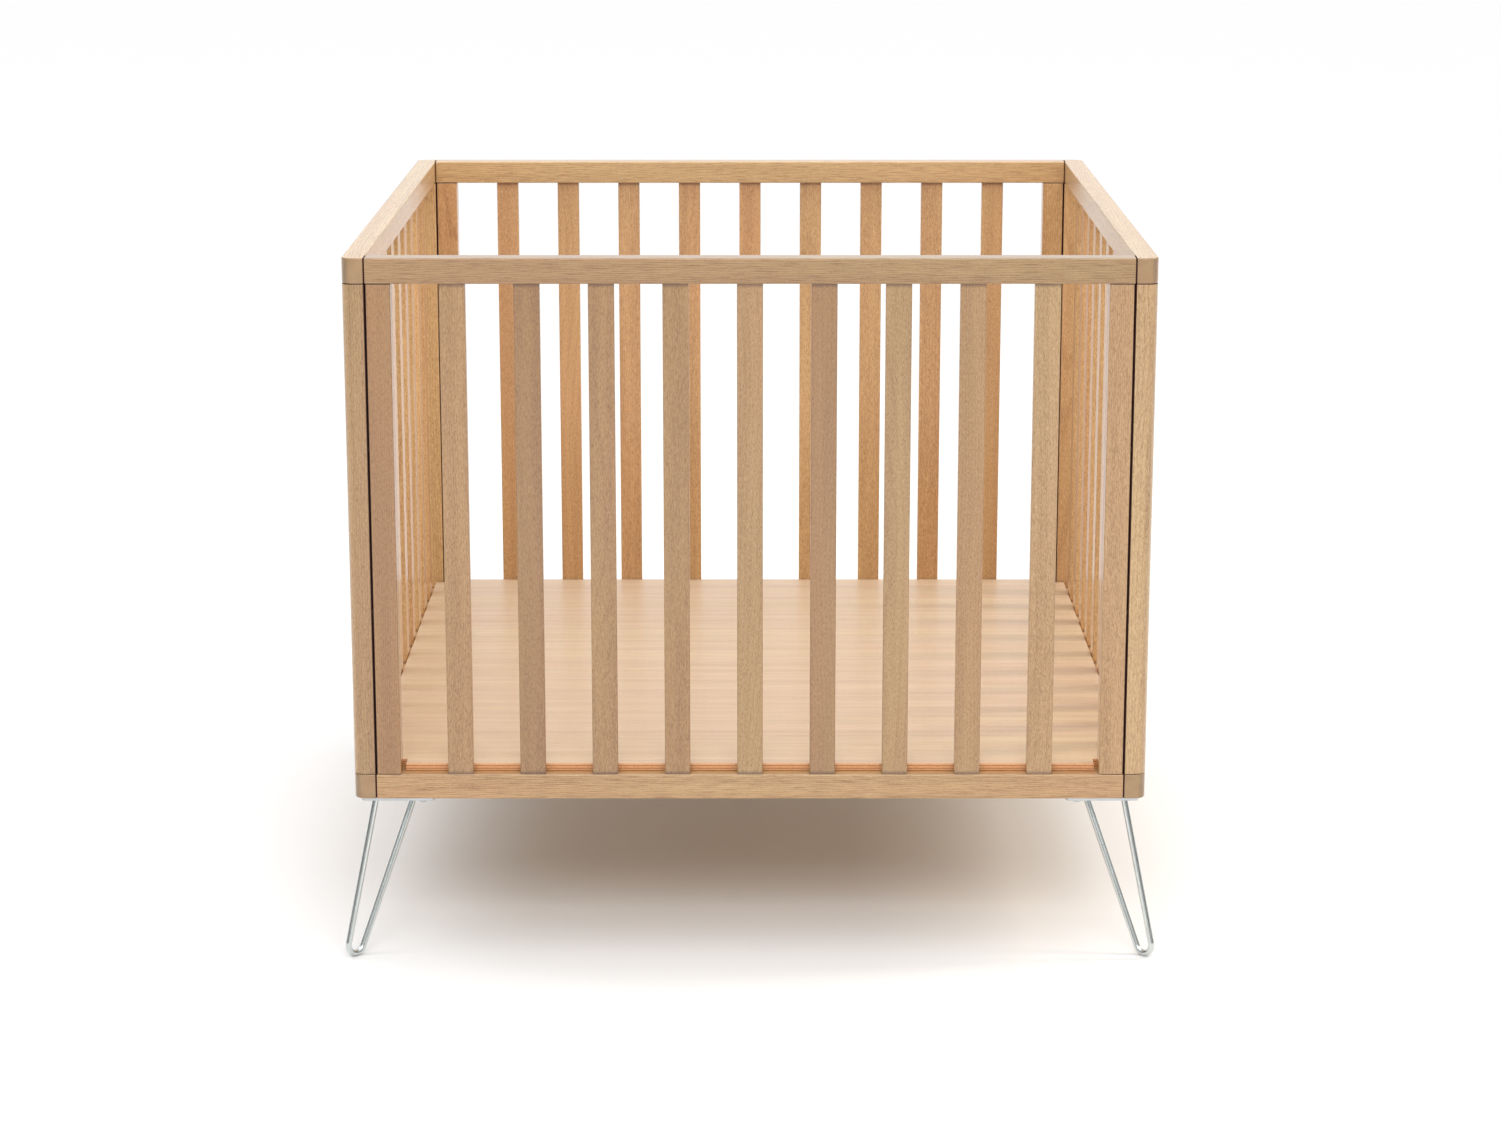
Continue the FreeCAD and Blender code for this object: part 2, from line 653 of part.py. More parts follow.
def panel_bolt(label):
    """A flat-headed bolt along its local Z axis: the head lies below Z = 0."""
    shank = S("bolt_radius")
    head = "-" + S("bolt_head_thick")
    body, solid = turned(label, [
        ("0", head), (S("bolt_head"), head), (S("bolt_head"), "0"), (shank, "0"),
        (shank, S("bolt_length")), ("0", S("bolt_length"))])
    names = edges_where(solid, lambda p: near(p.z, -SIZES["bolt_head_thick"]))
    fillet(body, solid, names, S("bolt_head_round"))
    socket = new_sketch(body, label + "_socket", "XY_Plane", head)
    corners = []
    for side in range(6):
        angle = math.pi * side / 3
        corners.append(("%s * %.6f" % (S("socket_reach"), math.cos(angle)),
                        "%s * %.6f" % (S("socket_reach"), math.sin(angle))))
    outline(socket, corners)
    body.Tip = pocket(body, socket, "%s * 0.7" % S("bolt_head_thick"), forward=True)
    return body


def barrel_nut(label):
    """A cross dowel: a short rod along Z with a threaded hole across it."""
    body, solid = turned(label, [
        ("0", "-%s / 2" % S("nut_length")), (S("nut_radius"), "-%s / 2" % S("nut_length")),
        (S("nut_radius"), "%s / 2" % S("nut_length")), ("0", "%s / 2" % S("nut_length"))])
    hole = new_sketch(body, label + "_thread", "YZ_Plane", "-%s" % S("nut_radius"))
    circle(hole, "0", "0", S("bolt_radius"))
    body.Tip = pocket(body, hole, "2 * %s" % S("nut_radius"), forward=True)
    return body


def dowel(label, length):
    """A wooden dowel along Z, centred, with bevelled ends."""
    half = "%s / 2" % length
    bevelled = "%s - %s" % (S("dowel_radius"), S("dowel_bevel"))
    body, solid = turned(label, [
        ("0", "-" + half), (bevelled, "-" + half),
        (S("dowel_radius"), "%s - %s" % (S("dowel_bevel"), half)),
        (S("dowel_radius"), "%s - %s" % (half, S("dowel_bevel"))),
        (bevelled, half), ("0", half)])
    return body


for name, spin, x, y in CORNERS:
    for make, kind in ((corner_block, "corner_block"), (leg_plate, "leg_plate")):
        piece = make("%s_%s" % (kind, name))
        place(piece, spin, x, y, S("leg_height"))
        keep(piece)
    rod = hairpin_rod("hairpin_rod_" + name)
    place(rod, spin + 45, x, y, S("leg_height"))
    keep(rod)


# Fasteners, grouped by kind


def group_of(label, pieces):
    group = doc.addObject("Part::Compound", label)
    group.Links = pieces
    return keep(group)


def inward(spin, across, deep):
    """The two expressions of a corner's local offsets, turned by the corner's spin."""
    turn = FreeCAD.Rotation(Z_AXIS, spin)
    ex = turn.multVec(X_AXIS)
    ey = turn.multVec(Y_AXIS)
    return ("%d * (%s) + %d * (%s)" % (round(ex.x), across, round(ey.x), deep),
            "%d * (%s) + %d * (%s)" % (round(ex.y), across, round(ey.y), deep))


screws = []
for name, spin, x, y in CORNERS:
    for number, (across, deep) in enumerate(SCREW_PLACES):
        screw = leg_screw("leg_screw_%s_%d" % (name, number + 1))
        dx, dy = inward(spin, across, deep)
        place(screw, 0, "%s + %s" % (x, dx), "%s + %s" % (y, dy),
              "%s - %s" % (S("leg_height"), S("plate_thick")))
        screws.append(screw)
group_of("leg_screws", screws)

bolts = []
nuts = []
for side, outward in (("left", -1), ("right", 1)):
    for end, depth_sign in (("front", -1), ("back", 1)):
        deep = "%d * (%s - %s)" % (depth_sign, HALF_DEPTH, S("bolt_inset"))
        for level, base in (("low", BOTTOM_RAIL), ("high", TOP_RAIL)):
            label = "%s_%s_%s" % (side, end, level)
            height = "%s + %s" % (base, MID_RAIL)
            bolt = panel_bolt("panel_bolt_" + label)
            seat = "%d * (%s - %s)" % (outward, HALF_WIDTH, S("bolt_seat"))
            place(bolt, -90 * outward, seat, deep, height, axis=Y_AXIS)
            bolts.append(bolt)
            nut = barrel_nut("barrel_nut_" + label)
            reach = "%d * (%s / 2 - %s)" % (outward, INNER_WIDTH, S("nut_reach"))
            place(nut, 0, reach, deep, height)
            nuts.append(nut)
group_of("panel_bolts", bolts)
group_of("barrel_nuts", nuts)

rail_dowels = []
corner_dowels = []
joint_length = "(%s + %s)" % (S("dowel_in_rail"), S("dowel_in_stile"))
lower_joint = "%s - %s + %s / 2" % (RAIL_TOP, S("dowel_in_rail"), joint_length)
upper_joint = "%s + %s - %s / 2" % (TOP_RAIL, S("dowel_in_rail"), joint_length)
for name, spin, x, y in CORNERS:
    # Which panel, whether it runs along X, where its stile starts, the dowels' depth.
    rows = (
        ("cross", True, S("panel_thick"), MID_THICK),
        ("side", False, "0", MID_THICK),
    )
    for kind, runs_along_x, start, deep in rows:
        near_dowel = "%s + %s" % (start, S("dowel_edge"))
        far_dowel = "%s + %s - %s" % (start, S("slat_width"), S("dowel_edge"))
        for step, along in enumerate((near_dowel, far_dowel)):
            for level, height in (("low", lower_joint), ("high", upper_joint)):
                piece = dowel("dowel_%s_%s_%d_%s" % (name, kind, step, level), joint_length)
                first_is_x = runs_along_x == (spin % 180 == 0)
                local = (along, deep) if first_is_x else (deep, along)
                dx, dy = inward(spin, *local)
                place(piece, 0, "%s + %s" % (x, dx), "%s + %s" % (y, dy), height)
                rail_dowels.append(piece)
    x_sign = -1 if x.startswith("-") else 1
    y_sign = -1 if y.startswith("-") else 1
    for third in (1, 2):
        piece = dowel("corner_dowel_%s_%d" % (name, third), S("corner_dowel"))
        across = "%d * (%s / 2)" % (x_sign, INNER_WIDTH)
        deep = "%d * (%s - %s)" % (y_sign, HALF_DEPTH, MID_THICK)
        height = "%s + %d * %s / 3" % (RAIL_TOP, third, S("clear_height"))
        place(piece, 90, across, deep, height, axis=Y_AXIS)
        corner_dowels.append(piece)
group_of("rail_dowels", rail_dowels)
group_of("corner_dowels", corner_dowels)

doc.recompute()


# Checks and export


def check_document():
    for item in doc.Objects:
        bad = [state for state in item.State if state in ("Invalid", "Error")]
        if bad:
            raise RuntimeError("%s is %s" % (item.Label, bad))
    for piece in finished:
        if piece.Shape.isNull() or not piece.Shape.isValid():
            raise RuntimeError("%s has no valid shape" % piece.Label)


check_document()
os.makedirs("parts", exist_ok=True)
for piece in finished:
    piece.Shape.exportStep("parts/%s.step" % piece.Label)
    box = piece.Shape.BoundBox
    print("%-28s %3d solid(s) %10.1f mm3  x %.1f..%.1f y %.1f..%.1f z %.1f..%.1f" % (
        piece.Label, len(piece.Shape.Solids), piece.Shape.Volume,
        box.XMin, box.XMax, box.YMin, box.YMax, box.ZMin, box.ZMax))
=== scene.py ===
import math
import random

import bmesh
import bpy
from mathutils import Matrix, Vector


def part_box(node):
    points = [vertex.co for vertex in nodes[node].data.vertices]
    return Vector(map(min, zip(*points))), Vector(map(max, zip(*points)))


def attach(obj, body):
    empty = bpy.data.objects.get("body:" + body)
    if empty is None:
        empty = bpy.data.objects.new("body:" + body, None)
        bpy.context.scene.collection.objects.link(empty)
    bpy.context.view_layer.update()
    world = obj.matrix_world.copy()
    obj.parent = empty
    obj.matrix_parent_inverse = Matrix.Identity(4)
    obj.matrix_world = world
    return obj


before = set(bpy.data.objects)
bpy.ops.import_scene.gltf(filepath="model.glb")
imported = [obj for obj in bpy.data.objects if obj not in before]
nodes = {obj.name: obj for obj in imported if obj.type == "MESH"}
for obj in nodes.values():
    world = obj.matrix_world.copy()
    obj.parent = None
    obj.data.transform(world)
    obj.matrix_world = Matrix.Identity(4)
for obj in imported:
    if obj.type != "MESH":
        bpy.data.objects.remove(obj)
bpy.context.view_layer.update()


# ---------------------------------------------------------------- measures, from the CAD

side_rail_low, side_rail_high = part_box("right_top_rail")
HALF_WIDTH, HALF_DEPTH = side_rail_high.x, side_rail_high.y

# The front and back panels end against the side panels' inner faces, at this X. In Y the
# joint begins half a millimetre before the inner faces of the front and back panels.
JOINT_X = side_rail_low.x
JOINT_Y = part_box("back_top_rail")[0].y - 0.0005
# How far the joint's faces reach from JOINT_X, towards the middle and away from it.
JOINT_INWARD, JOINT_OUTWARD = 0.0025, 0.0015

SLAT_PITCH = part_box("front_slat_2")[0].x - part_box("front_slat_1")[0].x
SLAT_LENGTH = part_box("front_top_rail")[0].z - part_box("front_bottom_rail")[1].z  # in view

PLATE_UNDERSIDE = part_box("leg_plate_front_left")[0].z
ROD_RADIUS = 0.004
# Where each leg's outer and inner rods meet the plate, from the playpen's outer faces.
WELD_PLACES = {"outer": 0.0257, "inner": 0.0747}
CORNERS = {"front_left": (-1, -1), "front_right": (1, -1),
           "back_left": (-1, 1), "back_right": (1, 1)}


# ---------------------------------------------------------------- node trees

def linear(red, green, blue):
    """A colour given as 0-255 screen values, as linear light."""
    return tuple(((c / 255 + 0.055) / 1.055) ** 2.4 for c in (red, green, blue)) + (1.0,)


class Graph:
    """A node tree, with short calls that add a node and return its output."""

    def __init__(self, node_tree):
        self.nodes = node_tree.nodes
        self.links = node_tree.links

    def put(self, node, key, value):
        if isinstance(value, bpy.types.NodeSocket):
            self.links.new(value, node.inputs[key])
        else:
            node.inputs[key].default_value = value

    def math(self, operation, first, second=0.0, third=0.0, clamp=False):
        node = self.nodes.new("ShaderNodeMath")
        node.operation = operation
        node.use_clamp = clamp
        for index, value in enumerate((first, second, third)):
            self.put(node, index, value)
        return node.outputs[0]

    def coordinates(self, kind):
        return self.nodes.new("ShaderNodeTexCoord").outputs[kind]

    def split(self, vector):
        node = self.nodes.new("ShaderNodeSeparateXYZ")
        self.put(node, 0, vector)
        return node.outputs

    def join(self, x, y, z):
        node = self.nodes.new("ShaderNodeCombineXYZ")
        for index, value in enumerate((x, y, z)):
            self.put(node, index, value)
        return node.outputs[0]


class Tree(Graph):
    """A new material's node tree, around one principled shader."""

    def __init__(self, name):
        self.material = bpy.data.materials.new(name)
        self.material.use_nodes = True
        super().__init__(self.material.node_tree)
        self.nodes.clear()
        output = self.nodes.new("ShaderNodeOutputMaterial")
        self.shader = self.nodes.new("ShaderNodeBsdfPrincipled")
        self.links.new(self.shader.outputs["BSDF"], output.inputs["Surface"])

    def surface(self, **values):
        for key, value in values.items():
            self.put(self.shader, key.replace("_", " "), value)

    def vector(self, operation, first, second, output="Vector"):
        node = self.nodes.new("ShaderNodeVectorMath")
        node.operation = operation
        self.put(node, 0, first)
        self.put(node, 1, second)
        return node.outputs[output]

    def normal(self):
        return self.split(self.nodes.new("ShaderNodeNewGeometry").outputs["Normal"])

    def noise(self, point, cycles, detail=2.0, roughness=0.5):
        """Noise with so many cycles a metre along each axis of point."""
        node = self.nodes.new("ShaderNodeTexNoise")
        self.put(node, "Vector", self.vector("MULTIPLY", point, cycles))
        self.put(node, "Scale", 1.0)
        self.put(node, "Detail", detail)
        self.put(node, "Roughness", roughness)
        return node.outputs["Fac"]

    def white(self, value):
        node = self.nodes.new("ShaderNodeTexWhiteNoise")
        node.noise_dimensions = "1D"
        self.put(node, "W", value)
        return node.outputs

    def ramp(self, value, low, high, out_low=0.0, out_high=1.0):
        """A smooth step between two values, kept between out_low and out_high."""
        node = self.nodes.new("ShaderNodeMapRange")
        node.interpolation_type = "SMOOTHSTEP"
        for key, number in (("Value", value), ("From Min", low), ("From Max", high),
                            ("To Min", out_low), ("To Max", out_high)):
            self.put(node, key, number)
        return node.outputs[0]

    def mix(self, amount, first, second, blend="MIX"):
        node = self.nodes.new("ShaderNodeMix")
        node.data_type = "RGBA"
        node.blend_type = blend
        self.put(node, "Factor", amount)
        self.put(node, 6, first)
        self.put(node, 7, second)
        return node.outputs[2]

    def bump(self, height, distance, strength):
        node = self.nodes.new("ShaderNodeBump")
        self.put(node, "Height", height)
        self.put(node, "Distance", distance)
        self.put(node, "Strength", strength)
        return node.outputs[0]


# ---------------------------------------------------------------- beech

BEECH_PALE = linear(206, 169, 115)
BEECH_PINK = linear(206, 162, 111)
BEECH_DARK = linear(140, 95, 52)
BEECH_CREAM = linear(216, 184, 142)
# The colour of painted shade, in the joints and where slats enter rails.
JOINT_SHADE = linear(66, 26, 12)

PITH_DISTANCE = 0.16
RING_SPACING = 0.0025
RING_WANDER = 0.035

# How far each part of the figure moves the colour from pale to dark.
RINGS_ON_FACES, RINGS_MORE_ON_ENDS = 0.16, 0.14
FIBRES, GRIT, RAYS = 0.34, 0.36, 0.20
SAWN_END, BROAD_BANDS = 0.38, 0.18
# How far the pale dashes move it to cream.
DASHES = 0.28

# Fine fibres are longer on level boards than on upright ones: cycles a metre along them.
FIBRES_ALONG = {"X": 34, "Y": 34, "Z": 120}

# What one step of warmth takes from green and from blue.
WARMTH_GREEN, WARMTH_BLUE = 0.13, 0.24

# For grain along X, Y and Z: the two axes across the grain and the one along it.
AXES = {"X": (1, 2, 0), "Y": (0, 2, 1), "Z": (0, 1, 2)}


def growth_rings(tree, point, across, up, middle, pith):
    """Wavy rings round a pith that lies outside the piece. middle is the piece's middle
    across the grain, and pith is the direction from there to the pith."""
    heart = (middle[0] + PITH_DISTANCE * math.cos(pith),
             middle[1] + PITH_DISTANCE * math.sin(pith), 0.0)
    offset = tree.vector("SUBTRACT", tree.join(across, up, 0.0), heart)
    distance = tree.vector("LENGTH", offset, (0, 0, 0), "Value")
    wander = tree.noise(point, (6, 6, 1.5))
    radius = tree.math("MULTIPLY_ADD", wander, RING_WANDER, distance)
    wave = tree.math("SINE", tree.math("MULTIPLY", radius, 2 * math.pi / RING_SPACING))
    return tree.ramp(wave, 0.35, 1.0)


def joint_faces(tree, place, normal):
    """1 on the faces that meet where a panel's end stands against a side panel, where
    painted shade goes.
    """
    sideways = tree.ramp(tree.math("ABSOLUTE", normal[0]), 0.3, 0.6)
    aside = tree.math("ABSOLUTE", place[0])
    inside = tree.math("MULTIPLY",
                       tree.math("GREATER_THAN", aside, JOINT_X - JOINT_INWARD),
                       tree.math("LESS_THAN", aside, JOINT_X + JOINT_OUTWARD))
    far = tree.math("GREATER_THAN", tree.math("ABSOLUTE", place[1]), JOINT_Y)
    return tree.math("MULTIPLY", tree.math("MULTIPLY", inside, far), sideways)


def beech(name, grain, seed, tone=1.0, flecks=1.0, lines=1.0, pith=None, per_slat=False,
          shaded_ends=False, shaded_slat_ends=False, side_rail=False, shaded_corner_joint=False,
          turned=None, warmth=0.0):
    """Lacquered beech, drawn as solid wood: growth rings round a far-off pith, long fine
    fibres, and the short dense flecks of the wood's rays. flecks and lines scale these,
    and pith is the direction of the rings' middle in the plane across the grain."""
    tree = Tree(name)
    chance = random.Random(seed)
    axes = AXES[grain]
    place = tree.split(tree.coordinates("Object"))
    across, up, along = (place[axis] for axis in axes)
    low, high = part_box(name)
    centre = (low + high) / 2
    middle = [centre[axes[0]], centre[axes[1]]]
    shift = tuple(chance.uniform(-3, 3) for _ in range(3))
    lightness = tone
    if per_slat:
        # The row's slats are told apart by their place along Y.
        count = tree.math("DIVIDE", place[1], SLAT_PITCH)
        drawn = tree.white(tree.math("ADD", tree.math("FLOOR", count), seed))
        up = tree.math("MULTIPLY", tree.math("FRACT", count), SLAT_PITCH)
        middle[1] = SLAT_PITCH / 2
        shift = tree.vector("MULTIPLY", drawn["Color"], (5, 5, 5))
        spread = 0.16
        lightness = tree.math("MULTIPLY_ADD", drawn["Value"], spread, tone - spread / 2)
    point = tree.vector("ADD", tree.join(across, up, along), shift)
    if pith is None:
        pith = chance.uniform(0, 2 * math.pi)
    normal = tree.normal()
    end = tree.ramp(tree.math("ABSOLUTE", normal[axes[2]]), 0.3, 0.6)
    face = tree.math("SUBTRACT", 1.0, end)

    # The figure.
    rings = growth_rings(tree, point, across, up, middle, pith)
    fibres = tree.noise(point, (1000, 1000, FIBRES_ALONG[grain]), roughness=0.6)
    fibres = tree.ramp(fibres, 0.40, 0.72)
    grit = tree.ramp(tree.noise(point, (1000, 1000, 260), roughness=0.6), 0.28, 0.72)
    rays = tree.ramp(tree.noise(point, (1150, 800, 280), detail=1), 0.56, 0.68)
    dashes = tree.ramp(tree.noise(point, (1100, 1100, 90), detail=1), 0.60, 0.74)
    broad = tree.ramp(tree.noise(point, (70, 70, 2.6)), 0.3, 0.7)
    hue = tree.ramp(tree.noise(point, (14, 14, 1.1)), 0.35, 0.65)
    fine = tree.math("MULTIPLY", fibres, FIBRES * lines)
    fine = tree.math("MULTIPLY_ADD", grit, GRIT * flecks, fine)
    fine = tree.math("MULTIPLY_ADD", rays, RAYS * flecks, fine)
    contrast = tree.math("MULTIPLY_ADD", end, RINGS_MORE_ON_ENDS, RINGS_ON_FACES * lines)
    shade = tree.math("MULTIPLY", rings, contrast)
    shade = tree.math("MULTIPLY_ADD", fine, face, shade)
    shade = tree.math("MULTIPLY_ADD", end, SAWN_END, shade)
    shade = tree.math("MULTIPLY_ADD", broad, BROAD_BANDS, shade, clamp=True)
    colour = tree.mix(shade, tree.mix(hue, BEECH_PALE, BEECH_PINK), BEECH_DARK)
    colour = tree.mix(tree.math("MULTIPLY", dashes, DASHES), colour, BEECH_CREAM)
    rough = tree.ramp(grit, 0.0, 1.0, 0.38, 0.50)

    # The joints: painted shade.
    if shaded_corner_joint:
        joint_shade = joint_faces(tree, place, normal)
        # A stile's end faces get the painted shade too, for the dark line where it meets a
        # rail.
        if shaded_ends:
            joint_shade = tree.math("MAXIMUM", end, joint_shade)
        # Painted shade: faces inside a joint are painted dark and dull, so it shows as a
        # dark line.
        colour = tree.mix(joint_shade, colour, JOINT_SHADE)
        rough = tree.math("MAXIMUM", rough, joint_shade)
        tree.surface(Coat_Weight=tree.math("SUBTRACT", 1.0, joint_shade))
    else:
        tree.surface(Coat_Weight=1.0)
    if shaded_slat_ends:
        # Painted shade: a slat's last 6 mm, where it enters a rail, are painted darker as
        # the rail's contact shadow.
        reach = tree.math("ABSOLUTE", tree.math("SUBTRACT", place[2], centre.z))
        contact_shade = tree.ramp(reach, SLAT_LENGTH / 2 - 0.006, SLAT_LENGTH / 2)
        colour = tree.mix(tree.math("MULTIPLY", contact_shade, 0.6), colour, JOINT_SHADE)

    # The tone.
    if turned:
        # The faces that point this way get the wood's own tone, without the painted light
        # and shade.
        axis, sign, other = turned
        pointing = tree.ramp(tree.math("MULTIPLY", normal[axis], sign), 0.25, 0.7)
        factor = tree.math("MULTIPLY_ADD", pointing, other / tone - 1.0, 1.0)
        lightness = tree.math("MULTIPLY", lightness, factor)
    if side_rail:
        # Sawn end grain is darker than the long faces. The step is larger than the wood's
        # own, to take back the painted light that the side panels' raised tone puts on it.
        factor = tree.math("MULTIPLY_ADD", end, -0.38, 1.0)
        lightness = tree.math("MULTIPLY", lightness, factor)
    tint = tree.join(lightness,
                     tree.math("MULTIPLY", lightness, 1 - WARMTH_GREEN * warmth),
                     tree.math("MULTIPLY", lightness, 1 - WARMTH_BLUE * warmth))
    colour = tree.mix(1.0, colour, tint, "MULTIPLY")
    relief = tree.math("MULTIPLY_ADD", fibres, -0.5, grit)
    tree.surface(Base_Color=colour, Roughness=rough, Coat_Roughness=0.2)
    tree.surface(Normal=tree.bump(relief, 0.00006, 0.5))
    return tree.material


# ---------------------------------------------------------------- plywood and metal

PLIES = 3


def plywood(name, low, high):
    """Face veneer with the grain along X; the edges show the crossed plies."""
    tree = Tree(name)
    x, y, z = tree.split(tree.coordinates("Object"))
    point = tree.join(y, z, x)
    fibre = tree.noise(point, (520, 520, 9), detail=3, roughness=0.65)
    broad = tree.noise(point, (75, 75, 1.3), detail=3, roughness=0.6)
    hue = tree.ramp(tree.noise(point, (26, 26, 0.9)), 0.35, 0.65)
    dashes = tree.ramp(tree.noise(point, (800, 800, 90), detail=1), 0.58, 0.72)
    streaks = tree.ramp(tree.noise(point, (230, 230, 3.5)), 0.42, 0.66)
    shade = tree.math("ADD", tree.math("MULTIPLY", tree.ramp(fibre, 0.3, 0.7), 0.34),
                      tree.math("MULTIPLY", tree.ramp(broad, 0.35, 0.65), 0.34))
    shade = tree.math("MULTIPLY_ADD", streaks, 0.14, shade)
    pale = tree.mix(hue, linear(210, 188, 154), linear(210, 184, 157))
    veneer = tree.mix(shade, pale, linear(186, 155, 126))
    veneer = tree.mix(tree.math("MULTIPLY", dashes, 0.3), veneer, (0.6, 0.5, 0.42, 1),
                      "MULTIPLY")
    # The edge: pale plies between thin dark glue lines.
    level = tree.math("MULTIPLY", tree.math("SUBTRACT", z, low.z), PLIES / (high.z - low.z))
    step = tree.math("ABSOLUTE", tree.math("SUBTRACT", tree.math("FRACT", level), 0.5))
    glue = tree.ramp(step, 0.33, 0.47)
    grit = tree.noise(tree.coordinates("Object"), (700, 700, 1800))
    ply = tree.mix(tree.ramp(grit, 0.35, 0.65), linear(232, 172, 118), linear(206, 146, 96))
    edge = tree.mix(glue, ply, linear(104, 56, 34))
    flatness = tree.ramp(tree.math("ABSOLUTE", tree.normal()[2]), 0.55, 0.9)
    rough = tree.ramp(fibre, 0.2, 0.8, 0.38, 0.52)
    tree.surface(Base_Color=tree.mix(flatness, edge, veneer), Roughness=rough)
    tree.surface(Normal=tree.bump(fibre, 0.0001, 0.5), Coat_Weight=0.2, Coat_Roughness=0.2)
    return tree.material


def metal(name, colour, roughness):
    """Bright metal, a little worn: duller and darker in soft patches."""
    tree = Tree(name)
    point = tree.coordinates("Object")
    wear = tree.noise(point, (60, 60, 60), detail=4, roughness=0.6)
    fine = tree.noise(point, (900, 900, 900))
    spread = 0.03
    rough = tree.ramp(wear, 0.3, 0.7, roughness - spread, roughness + spread)
    darker = tuple(channel * 0.93 for channel in colour[:3]) + (1,)
    tint = tree.mix(tree.ramp(wear, 0.35, 0.7), colour, darker)
    tree.surface(Base_Color=tint, Metallic=1.0, Roughness=rough)
    tree.surface(Normal=tree.bump(fine, 0.00002, 0.3))
    return tree.material


# ---------------------------------------------------------------- dressing the CAD's pieces

# Boards differ in tone, as cut from different trees. All these face the front, and their
# tones, below the wood's own, are also painted shade on the faces seen from the front.
TONES = {
    "front_slat_2": 0.57, "front_slat_3": 0.65, "front_slat_4": 0.64,
    "front_slat_5": 0.72, "front_slat_6": 0.62, "front_slat_7": 0.71,
    "front_slat_9": 0.80, "front_top_rail": 0.65, "front_bottom_rail": 0.85,
    "front_left_stile": 0.64, "front_right_stile": 0.82,
    "left_front_stile": 0.68, "right_front_stile": 0.91,
}
# The tone of every other board of a panel. It is painted light and shade too: darker than
# the wood's own tone on the front panel, lighter on the back and side panels.
PANEL_TONES = {"front": 0.72, "back": 1.07, "left": 1.18, "right": 1.16}
# The rows of side slats are lighter than the rest of their panel by this factor.
SLAT_ROW_TONE = 1.08

# How much redder than the wood's own colour a board is.
WARMTH = {
    "front_slat_1": 0.1, "front_slat_2": 0.9, "front_slat_3": 0.5, "front_slat_4": 0.6,
    "front_slat_6": 0.55, "front_slat_8": 0.2, "front_slat_9": -0.4,
    "front_left_stile": 0.8, "front_right_stile": -0.2, "right_front_stile": -0.75,
    "back_top_rail": -0.5, "left_top_rail": -0.6, "left_bottom_rail": -0.3,
    "right_top_rail": -0.6, "right_bottom_rail": -0.3,
}
# The other boards of the back panel draw theirs between 0 and this.
BACK_WARMTH = 0.6
BACK_WARMTH_SEED = 1000

# Axis, direction and tone: the inner faces of the front panel, which show from behind, and
# the outer faces of the other panels. These faces keep the wood's own tone, without the
# painted light and shade of the panel tones.
TURNED = {"front": (1, 1, 0.95), "back": (1, 1, 0.80), "left": (0, -1, 0.82),
          "right": (0, 1, 0.78)}

# Where the pith lies in the rails. The side rails mirror each other.
SIDE_PITH = {"left": 1.02, "right": math.pi - 1.02}
LONG_PITH = 1.2

CHROME = (0.66, 0.70, 0.69, 1)
PLATE_STEEL = (0.50, 0.53, 0.55, 1)
BOLT_STEEL = (0.60, 0.60, 0.61, 1)
WELD_STEEL = (0.50, 0.53, 0.54, 1)


def material_for(name, seed):
    """The material of one of the CAD's nodes, by the node's name."""
    if name == "base_board":
        return plywood(name, *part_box(name))
    if name.startswith("hairpin"):
        return metal(name, CHROME, 0.24)
    if name.startswith("leg_plate"):
        return metal(name, PLATE_STEEL, 0.32)
    if name in ("leg_screws", "panel_bolts", "barrel_nuts"):
        return metal(name, BOLT_STEEL, 0.25)

    side = name.split("_")[0]
    tone = TONES.get(name, PANEL_TONES.get(side, 1.0))
    look = {"turned": TURNED.get(side), "warmth": WARMTH.get(name, 0.0)}
    if side == "back" and name not in WARMTH:
        look["warmth"] = random.Random(BACK_WARMTH_SEED + seed).uniform(0.0, BACK_WARMTH)
    if name.endswith("_rail"):
        sideways = side in SIDE_PITH
        return beech(name, "Y" if sideways else "X", seed, tone, flecks=0.55, lines=1.5,
                     pith=SIDE_PITH.get(side, LONG_PITH), side_rail=sideways,
                     shaded_corner_joint=True, **look)
    if name.endswith("stile"):
        return beech(name, "Z", seed, tone, shaded_ends=True, shaded_corner_joint=True, **look)
    if "slat" in name:
        row = name.endswith("_slats")
        return beech(name, "Z", seed, tone * (SLAT_ROW_TONE if row else 1.0), flecks=1.2,
                     lines=0.6, per_slat=row, shaded_slat_ends=True, **look)
    return beech(name, "Z" if "dowel" in name else "X", seed)


def dress(node, material):
    slots = nodes[node].material_slots
    for entry in slots:
        entry.material = material
    if not slots:
        nodes[node].data.materials.append(material)


# ---------------------------------------------------------------- welds of the legs

# A bead is a stack of rings, from the plate down to the rod.
BEAD_STEPS, BEAD_LEVELS = 40, 7
BEAD_SPREAD, BEAD_DROP = 0.0029, 0.0026
BEAD_INTO_PLATE = 0.0002
BEAD_INTO_ROD = 0.92   # of the rod's radius


